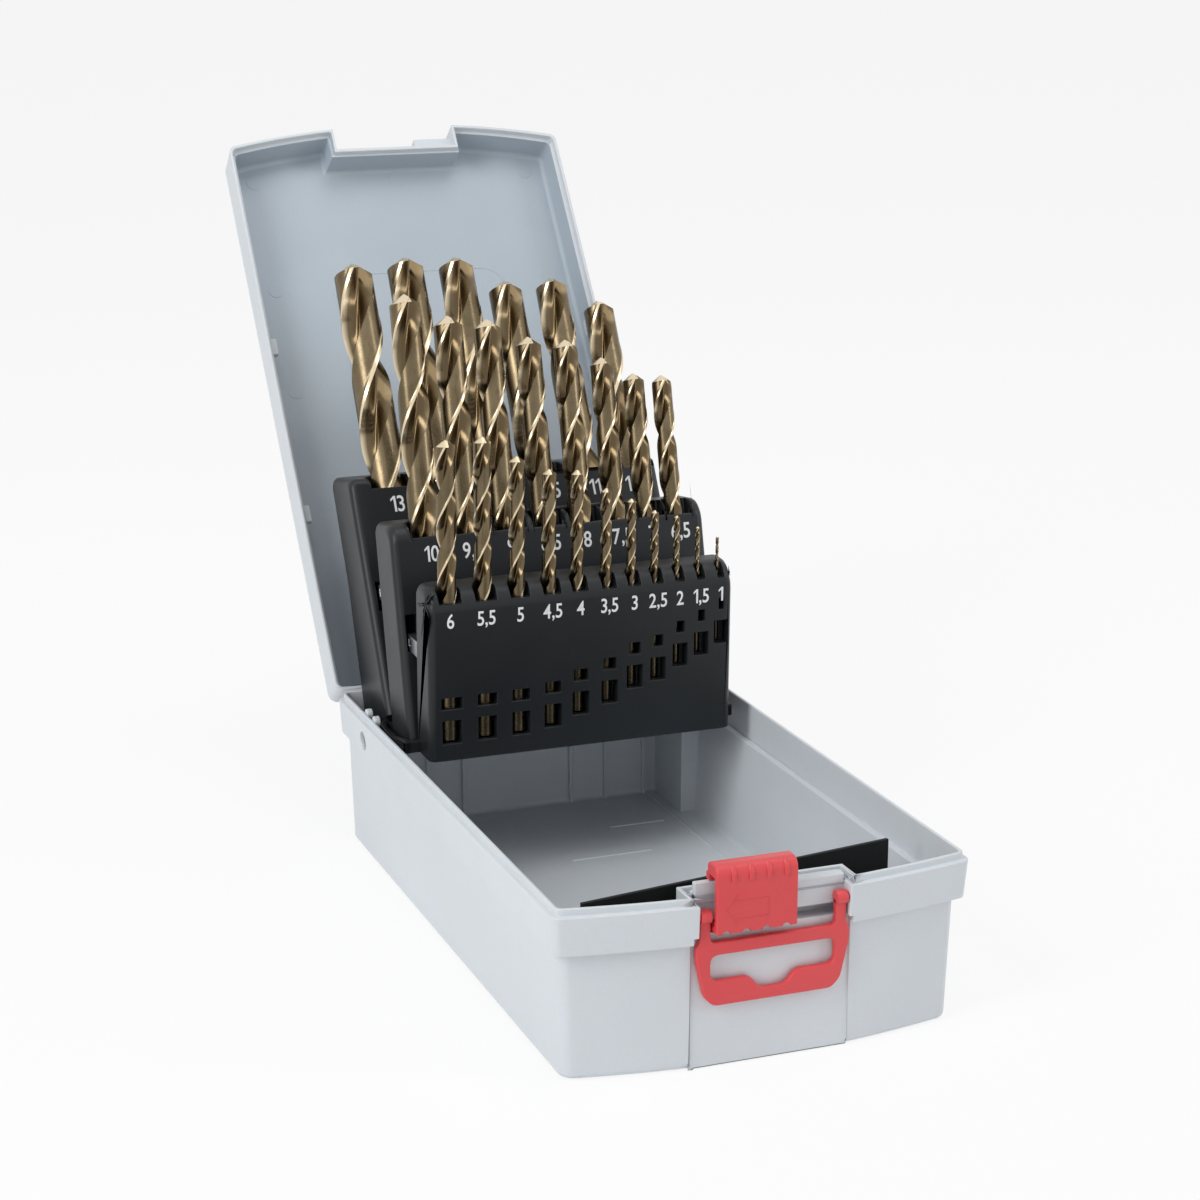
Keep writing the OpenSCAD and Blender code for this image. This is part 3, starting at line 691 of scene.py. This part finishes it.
def latch_section(x):
    """The sliding latch's outline in Y and Z; its lower edge has four scallops."""
    low = 38.7
    for middle in scallop_middles():
        if abs(x - middle) < SCALLOP_R:
            low = max(low, 38.3 + math.sqrt(SCALLOP_R ** 2 - (x - middle) ** 2))
    front, inside, top = -107.7, -105.7, 55.9
    outline = [(front, low), (-98.2, low), (-98.2, 44), (-100.1, 44), (-100.1, 40.7), (inside, 40.7),
               (inside, 53.8), (-101, 53.8), (-101, top)]
    outline += [(-102.5 + 1.5 * math.cos(math.radians(a)), top + 1.5 * math.sin(math.radians(a)))
                for a in (22, 45, 68, 90)]
    outline += [(front + 3 + 3 * math.cos(math.radians(a)), 54.4 + 3 * math.sin(math.radians(a)))
                for a in range(90, 181, 15)]
    return [(x, y, z) for y, z in outline]


def make_latch():
    left, right = LATCH
    xs = sorted({left, right} | {middle + d for middle in scallop_middles()
                                 for d in (-SCALLOP_R, -1.2, -1, -0.6, 0, 0.6, 1, 1.2, SCALLOP_R)})
    body = closed("latch_grip", [through([latch_section(x) for x in xs])], RED)
    keep(eased(body, 0.45, 3), "latch", "latch_plastic", "latch_slider")

    starts = [left + 4 + 5 * i for i in range(4)]
    ribs = closed("latch_ribs", [rod((x, x + 1.4), -105.1, 54.2, 3.1, 48) for x in starts], RED)
    keep(eased(ribs, 0.3), "latch", "latch_plastic")
    catch = closed("latch_catch", [block((left, left + 7), (-102.4, -100.4), (52.3, 54.3))], RED)
    keep(catch, "latch", "latch_plastic")

    arrow = [(-14.6, 45.2), (-11.6, 49.0), (-11.6, 47.6), (-2.6, 47.6), (-2.6, 42.6), (-11.6, 42.6),
             (-11.6, 41.4)]
    verts, faces = ridge(arrow, 0.16, 107.6, 107.78)
    strips = [([(x, -z, y) for x, y, z in verts], faces)]
    keep(closed("latch_arrow", strips, RED), "latch", "latch_plastic")


def softened(points, radius, steps=5):
    """An outline with its corners rounded."""
    out = []
    for n, p in enumerate(points):
        p = Vector(p)
        a = Vector(points[n - 1])
        b = Vector(points[(n + 1) % len(points)])
        r = min(radius, (a - p).length * 0.45, (b - p).length * 0.45)
        start, end = p + (a - p).normalized() * r, p + (b - p).normalized() * r
        for i in range(steps + 1):
            t = i / steps
            out.append(tuple((1 - t) ** 2 * start + 2 * t * (1 - t) * p + t * t * end))
    return out


def sharpened(mesh, angle):
    """Shades a mesh smooth but for its edges over an angle in degrees."""
    mesh.shade_smooth()
    mesh.set_sharp_from_angle(angle=math.radians(angle))


def drawn(curve):
    """The mesh of a curve or a text, which is then removed."""
    obj = bpy.data.objects.new(curve.name, curve)
    bpy.context.scene.collection.objects.link(obj)
    bpy.context.view_layer.update()
    mesh = bpy.data.meshes.new_from_object(obj.evaluated_get(bpy.context.evaluated_depsgraph_get()))
    bpy.data.objects.remove(obj)
    return mesh


def plate(name, outlines, thick, ease, material):
    """A flat plate with holes and rounded edges, drawn in X and Y, its front face up."""
    curve = bpy.data.curves.new(name, "CURVE")
    curve.dimensions = "2D"
    curve.fill_mode = "BOTH"
    curve.extrude = thick / 2 - ease
    curve.bevel_depth = ease
    curve.bevel_resolution = 3
    curve.offset = -ease
    for points in outlines:
        spline = curve.splines.new("POLY")
        spline.points.add(len(points) - 1)
        for point, (x, y) in zip(spline.points, points):
            point.co = (x, y, 0, 1)
        spline.use_cyclic_u = True
    mesh = drawn(curve)
    form = bmesh.new()
    form.from_mesh(mesh)
    bmesh.ops.remove_doubles(form, verts=form.verts, dist=1e-3)
    bmesh.ops.recalc_face_normals(form, faces=form.faces)
    form.to_mesh(mesh)
    form.free()
    mesh.transform(Matrix.Scale(MM, 4))
    sharpened(mesh, 50)
    return solid(name, mesh, material)


def make_hanger():
    h, arm_in, arm_out = HANGER_HALF, 17.9, 21
    foot, slot_top, slot_low = -25.4, -11.2, -18.4
    outer = [(-arm_out, 0.6), (-arm_out, -6.6), (-h, -8.6), (-h, -12.4), (-h + 2.4, -22.8),
             (-h + 5, foot), (h - 5, foot), (h - 2.4, -22.8), (h, -12.4), (h, -8.6),
             (arm_out, -6.6), (arm_out, 0.6), (arm_in, 0.6), (arm_in, -7.5), (-arm_in, -7.5),
             (-arm_in, 0.6)]
    slot = [(-arm_in, slot_top), (-arm_in, slot_low), (-6.4, slot_low), (-3.8, -22.2), (3.8, -22.2),
            (6.4, slot_low), (arm_in, slot_low), (arm_in, slot_top)]
    loop = plate("hanger_loop", [softened(outer, 1.4), softened(slot, 2.4)], 2.2, 0.55, RED)
    loop.data.transform(Matrix.Translation(Vector((0, HANGER_Y + 0.4, HANGER_Z)) * MM)
                        @ Matrix.Rotation(math.radians(90), 4, "X"))
    keep(loop, "hanger", "latch_plastic", "hanger")
    barrels = pair(rod((arm_in, arm_out), HANGER_Y, HANGER_Z, 1.9))
    barrels += pair(rod((20.5, 23.2), HANGER_Y, HANGER_Z, 1.2))
    keep(eased(closed("hanger_barrels", barrels, RED), 0.25), "hanger", "latch_plastic")


def make_clips():
    """The two link clips, each a small plate with a window."""
    x, rim = (-48.8, -46.2), 1.3
    for node, (y0, y1, z0, z1), row, name in (
            ("link_clip_front", (-26.5, -13.4, 33, 38), "front", "clip_front_tab"),
            ("link_clip_back", (-9.2, 4.9, 43, 48), "middle", "clip_back_tab")):
        clip = carved(closed(name, [block(x, (y0, y1), (z0, z1))], CLIP),
                      [block((x[0] - 1, x[1] + 1), (y1 - 4.4, y1 - 1.4), (z0 + rim, z1 - rim))])
        eased(clip, 0.3)
        clip.data.transform(lean_frame(row))
        keep(clip, row + "_rack", "clip_metal", node)


def make_cards():
    """The two black sheets that stand in the tray."""
    thick, across, along = 1.2, 14.6, 95.4
    diagonal = closed("card_diagonal_sheet", [block((0, 96.5), (0, thick), (FLOOR, 47.9))], CARD)
    eased(diagonal, 0.2)
    diagonal.data.transform(Matrix.Translation(Vector((-50, -95.6, 0)) * MM)
                            @ Matrix.Rotation(math.atan2(across, along), 4, "Z"))
    keep(diagonal, "case_base", "card_plastic", "card_diagonal")

    low, high = (-75, 2.9), (-68.2, 34.3)
    outline = [low, (low[0] + thick, low[1]), (high[0] + thick, high[1]), high]
    leaning = closed("card_leaning_sheet", [prism((-54, 24), outline)], CARD)
    keep(eased(leaning, 0.2), "case_base", "card_plastic", "card_leaning")


def make_pins():
    for side, name in ((-1, "left"), (1, "right")):
        ends = sorted((side * KNUCKLES[0][0], side * KNUCKLES[2][1]))
        keep(eased(closed(f"hinge_pin_{name}_rod", [rod(ends, HINGE.y, HINGE.z, 1.2)], PIN), 0.2),
             "case_base", "pin_steel", f"hinge_pin_{name}")
        forms = [rod(sorted((side * 46.4, side * 56.1)), PIVOT.y, PIVOT.z, 2.2),
                 rod(sorted((side * 54.7, side * 58.4)), PIVOT.y, PIVOT.z, 2.95)]
        keep(eased(closed(f"pivot_pin_{name}_rod", forms, PIN), 0.2), "case_base", "pin_steel",
             f"pivot_pin_{name}")


# The drills and the numerals

def drill_section(share):
    """A two-flute drill at a share of the half turn, from the heel of a land round to the next.

    Returns the radius as a share of the full radius, and how far the spot is flute and margin."""
    land, margin, web = 0.5, 0.06, 0.2
    if share <= land:
        return (1.0, 0.0, 1.0) if share > land - margin else (0.955, 0.0, 0.0)
    v = (share - land) / (1 - land)
    radius = web / math.sin(math.asin(web) + math.pi / 2 * v) + 0.755 * v ** 3.5
    return radius, min(1.0, 6 * v, 6 * (1 - v)), 0.0


def drill_mesh(name, size, length, fluted):
    """A twist drill standing on its shank's end, in millimetres.

    The attributes say how far a spot is flute and how far it is bright bare steel with a painted highlight."""
    r = size / 2
    shank = length - fluted
    around = 72 if size > 5 else 40
    helix, point, relief = 28, 0.57, 0.14
    turn = 2 * fluted * math.tan(math.radians(helix)) / size
    rings = max(40, int(turn / math.radians(7)))
    half = around // 2
    section = [drill_section((i % half) / half) for i in range(around)]
    fall = [relief * (1 - 2 * s if s <= 0.5 else (2 * s - 1) ** 3) for s in
            ((i % half) / half for i in range(around))]
    angles = [2 * math.pi * i / around for i in range(around)]
    fade = min(1.6 * size, fluted * 0.25)
    verts, flute, ground_glint = [], [], []

    def ring(radii, heights, twists, flutes, ground_glints):
        verts.extend((q * math.cos(a + w), q * math.sin(a + w), z)
                     for q, z, a, w in zip(radii, heights, angles, twists))
        flute.extend(flutes)
        ground_glint.extend(ground_glints)

    none = [0.0] * around
    for z, k in ((0, 0.8), (0.2 * r, 1), (shank, 1)):
        ring([r * k] * around, [z] * around, [-turn] * around, none, none)
    tops = [length - r * (point * s[0] + f) for s, f in zip(section, fall)]
    for step in range(rings + 1):
        t = step / rings
        heights = [shank + (top - shank) * t for top in tops]
        depth = min(1.0, t * fluted / fade) ** 0.7
        ring([r * (1 - (1 - s[0]) * depth) for s in section], heights,
             [turn * (z - length) / fluted for z in heights],
             [s[1] * depth for s in section], [s[2] * depth for s in section])
    # the tip is marked bright: bare steel and painted highlight
    for k in (0.995, 0.66, 0.33, 0.12):
        ring([k * r * s[0] for s in section],
             [length - r * k * (point * s[0] + f) for s, f in zip(section, fall)], none, none, [1.0] * around)
    count = len(verts) // around
    faces = [(j * around + i, j * around + (i + 1) % around, (j + 1) * around + (i + 1) % around,
              (j + 1) * around + i) for j in range(count - 1) for i in range(around)]
    last = (count - 1) * around
    verts.append((0, 0, length))
    flute.append(0.0)
    ground_glint.append(1.0)
    faces.extend((last + i, last + (i + 1) % around, last + around) for i in range(around))
    faces.append(tuple(range(around - 1, -1, -1)))
    mesh = bpy.data.meshes.new(name)
    mesh.from_pydata(verts, [], faces)
    for key, values in (("flute", flute), ("ground_glint", ground_glint)):
        mesh.attributes.new(key, "FLOAT", "POINT").data.foreach_set("value", values)
    return mesh


def make_drills():
    for row, drills in DRILLS.items():
        y = RACK[row].front + RACK[row].line
        for size, length, fluted, x, seat in drills:
            node = "drill_" + f"{size:.1f}".replace(".", "_")
            mesh = drill_mesh(node + "_bit", size, length, fluted)
            mesh.transform(lean_frame(row) @ Matrix.Scale(MM, 4)
                           @ Matrix.Translation((x, y, seat))
                           @ Matrix.Rotation(math.radians(HEEL[row] + 7 * math.sin(5 * size)), 4, "Z"))
            sharpened(mesh, 34)
            keep(solid(node + "_bit", mesh, BRONZE), node, "drill_bronze", node)


def glyph(character, height):
    """One bold character as a flat mesh, its left edge at 0 and its foot on the line."""
    curve = bpy.data.curves.new("glyph", "FONT")
    curve.body = character
    curve.size = height * 1.38
    curve.extrude = PRINT
    curve.offset = 0.016 * height
    curve.resolution_u = 4
    mesh = drawn(curve)
    form = bmesh.new()
    form.from_mesh(mesh)
    bpy.data.meshes.remove(mesh)
    left = min(v.co.x for v in form.verts)
    width = max(v.co.x for v in form.verts) - left
    bmesh.ops.translate(form, verts=form.verts, vec=(-left, 0, 0))
    if character == "1":
        top, reach = max(v.co.y for v in form.verts), 0.24 * height
        flag = [(0.04, top), (-reach, top - 0.2 * height), (-reach, top - 0.33 * height),
                (0.04, top - 0.17 * height)]
        low, high = ([form.verts.new((x, y, z)) for x, y in flag] for z in (-PRINT, PRINT))
        form.faces.new(low[::-1])
        form.faces.new(high)
        for i in range(4):
            form.faces.new((low[i], low[(i + 1) % 4], high[(i + 1) % 4], high[i]))
        bmesh.ops.translate(form, verts=form.verts, vec=(reach, 0, 0))
        width += reach
    bmesh.ops.recalc_face_normals(form, faces=form.faces)
    return form, width


def make_numerals():
    for row, drills in DRILLS.items():
        middle, height = NUMERALS[row]
        whole = bmesh.new()
        for size, _, _, x, _ in drills:
            glyphs = [glyph(c, height) for c in f"{size:g}".replace(".", ",")]
            gap = 0.1 * height
            reach = -(sum(width for _, width in glyphs) + gap * (len(glyphs) - 1)) / 2
            for form, width in glyphs:
                place = (Matrix.Translation((x - 0.25, RACK[row].front, middle - height / 2))
                         @ Matrix.Rotation(math.radians(90), 4, "X") @ Matrix.Scale(0.8, 4, (1, 0, 0))
                         @ Matrix.Translation((reach, 0, 0)))
                form.transform(place)
                mesh = bpy.data.meshes.new("glyph")
                form.to_mesh(mesh)
                form.free()
                whole.from_mesh(mesh)
                bpy.data.meshes.remove(mesh)
                reach += width + gap
        mesh = bpy.data.meshes.new("numerals_" + row)
        whole.transform(lean_frame(row) @ Matrix.Scale(MM, 4))
        whole.to_mesh(mesh)
        whole.free()
        keep(solid("numerals_" + row, mesh, WHITE), row + "_rack", "rack_plastic")


# The studio

def make_floor():
    f = Finish("paper", Roughness=0.9, Specular_IOR_Level=0.1)
    f.feed(Base_Color=(0.93, 0.935, 0.94))
    glow = f.add("ShaderNodeEmission", {}, {"Color": (1, 1, 1), "Strength": 1.0})
    path = f.add("ShaderNodeLightPath")
    seen = f.read("ShaderNodeMath", {"operation": "MAXIMUM"},
                  {0: path.outputs["Is Camera Ray"], 1: path.outputs["Is Glossy Ray"]})
    blend = f.add("ShaderNodeMixShader", {}, {0: seen * 0.86, 1: f.shader.outputs[0],
                                             2: glow.outputs[0]})
    out = next(n for n in f.tree.nodes if n.type == "OUTPUT_MATERIAL")
    f.tree.links.new(blend.outputs[0], out.inputs["Surface"])
    mesh = bpy.data.meshes.new("floor")
    reach, below = 12, -0.0003
    corners = ((-1, -1), (1, -1), (1, 1), (-1, 1))
    mesh.from_pydata([(x * reach, y * reach, below) for x, y in corners], [], [(0, 1, 2, 3)])
    floor = solid("floor", mesh, f.material)


def aim(obj, target):
    obj.rotation_euler = (Vector(target) - obj.location).to_track_quat("-Z", "Y").to_euler()


def lamp(name, place, size, power, colour=(1, 1, 1)):
    light = bpy.data.lights.new(name, "AREA")
    light.shape = "RECTANGLE"
    light.size, light.size_y = size
    light.energy = power
    light.color = colour
    obj = bpy.data.objects.new(name, light)
    bpy.context.scene.collection.objects.link(obj)
    obj.location = place
    aim(obj, (0, 0.03, 0.06))


def make_studio():
    world = bpy.data.worlds.new("studio")
    bpy.context.scene.world = world
    world.use_nodes = True
    tree = world.node_tree
    back = tree.nodes["Background"]
    path = tree.nodes.new("ShaderNodeLightPath")
    total = tree.nodes.new("ShaderNodeMath")
    total.operation = "MAXIMUM"
    tree.links.new(path.outputs["Is Camera Ray"], total.inputs[0])
    tree.links.new(path.outputs["Is Glossy Ray"], total.inputs[1])
    level = tree.nodes.new("ShaderNodeMapRange")
    level.inputs[3].default_value = 0.36
    level.inputs[4].default_value = 1.0
    tree.links.new(total.outputs[0], level.inputs[0])
    tree.links.new(level.outputs[0], back.inputs["Strength"])
    back.inputs["Color"].default_value = (1, 1, 1, 1)
    lamp("left_softbox", (-1.3, -0.5, 0.9), (0.5, 1.2), 12.5)
    lamp("right_softbox", (1.4, -0.9, 0.8), (0.4, 1.2), 7)
    lamp("top_softbox", (0.1, -0.2, 1.7), (1.3, 0.9), 7)


def make_camera():
    """A camera fitted to the tray's corners and the drills' tips."""
    data = bpy.data.cameras.new("camera")
    data.sensor_width = 36
    data.lens = 81.92
    data.shift_x = 0.0016
    data.shift_y = -0.0003
    data.clip_start = 0.05
    camera = bpy.data.objects.new("camera", data)
    bpy.context.scene.collection.objects.link(camera)
    place, target = (-0.28117, -0.71023, 0.31010), (0.12145, 0.34028, 0)
    camera.location = place
    aim(camera, target)
    bpy.context.scene.camera = camera


scene = bpy.context.scene
scene.view_settings.view_transform = "Standard"
make_tray()
make_lid()
make_racks()
make_latch()
make_hanger()
make_clips()
make_cards()
make_pins()
make_drills()
make_numerals()
make_floor()
make_studio()
make_camera()
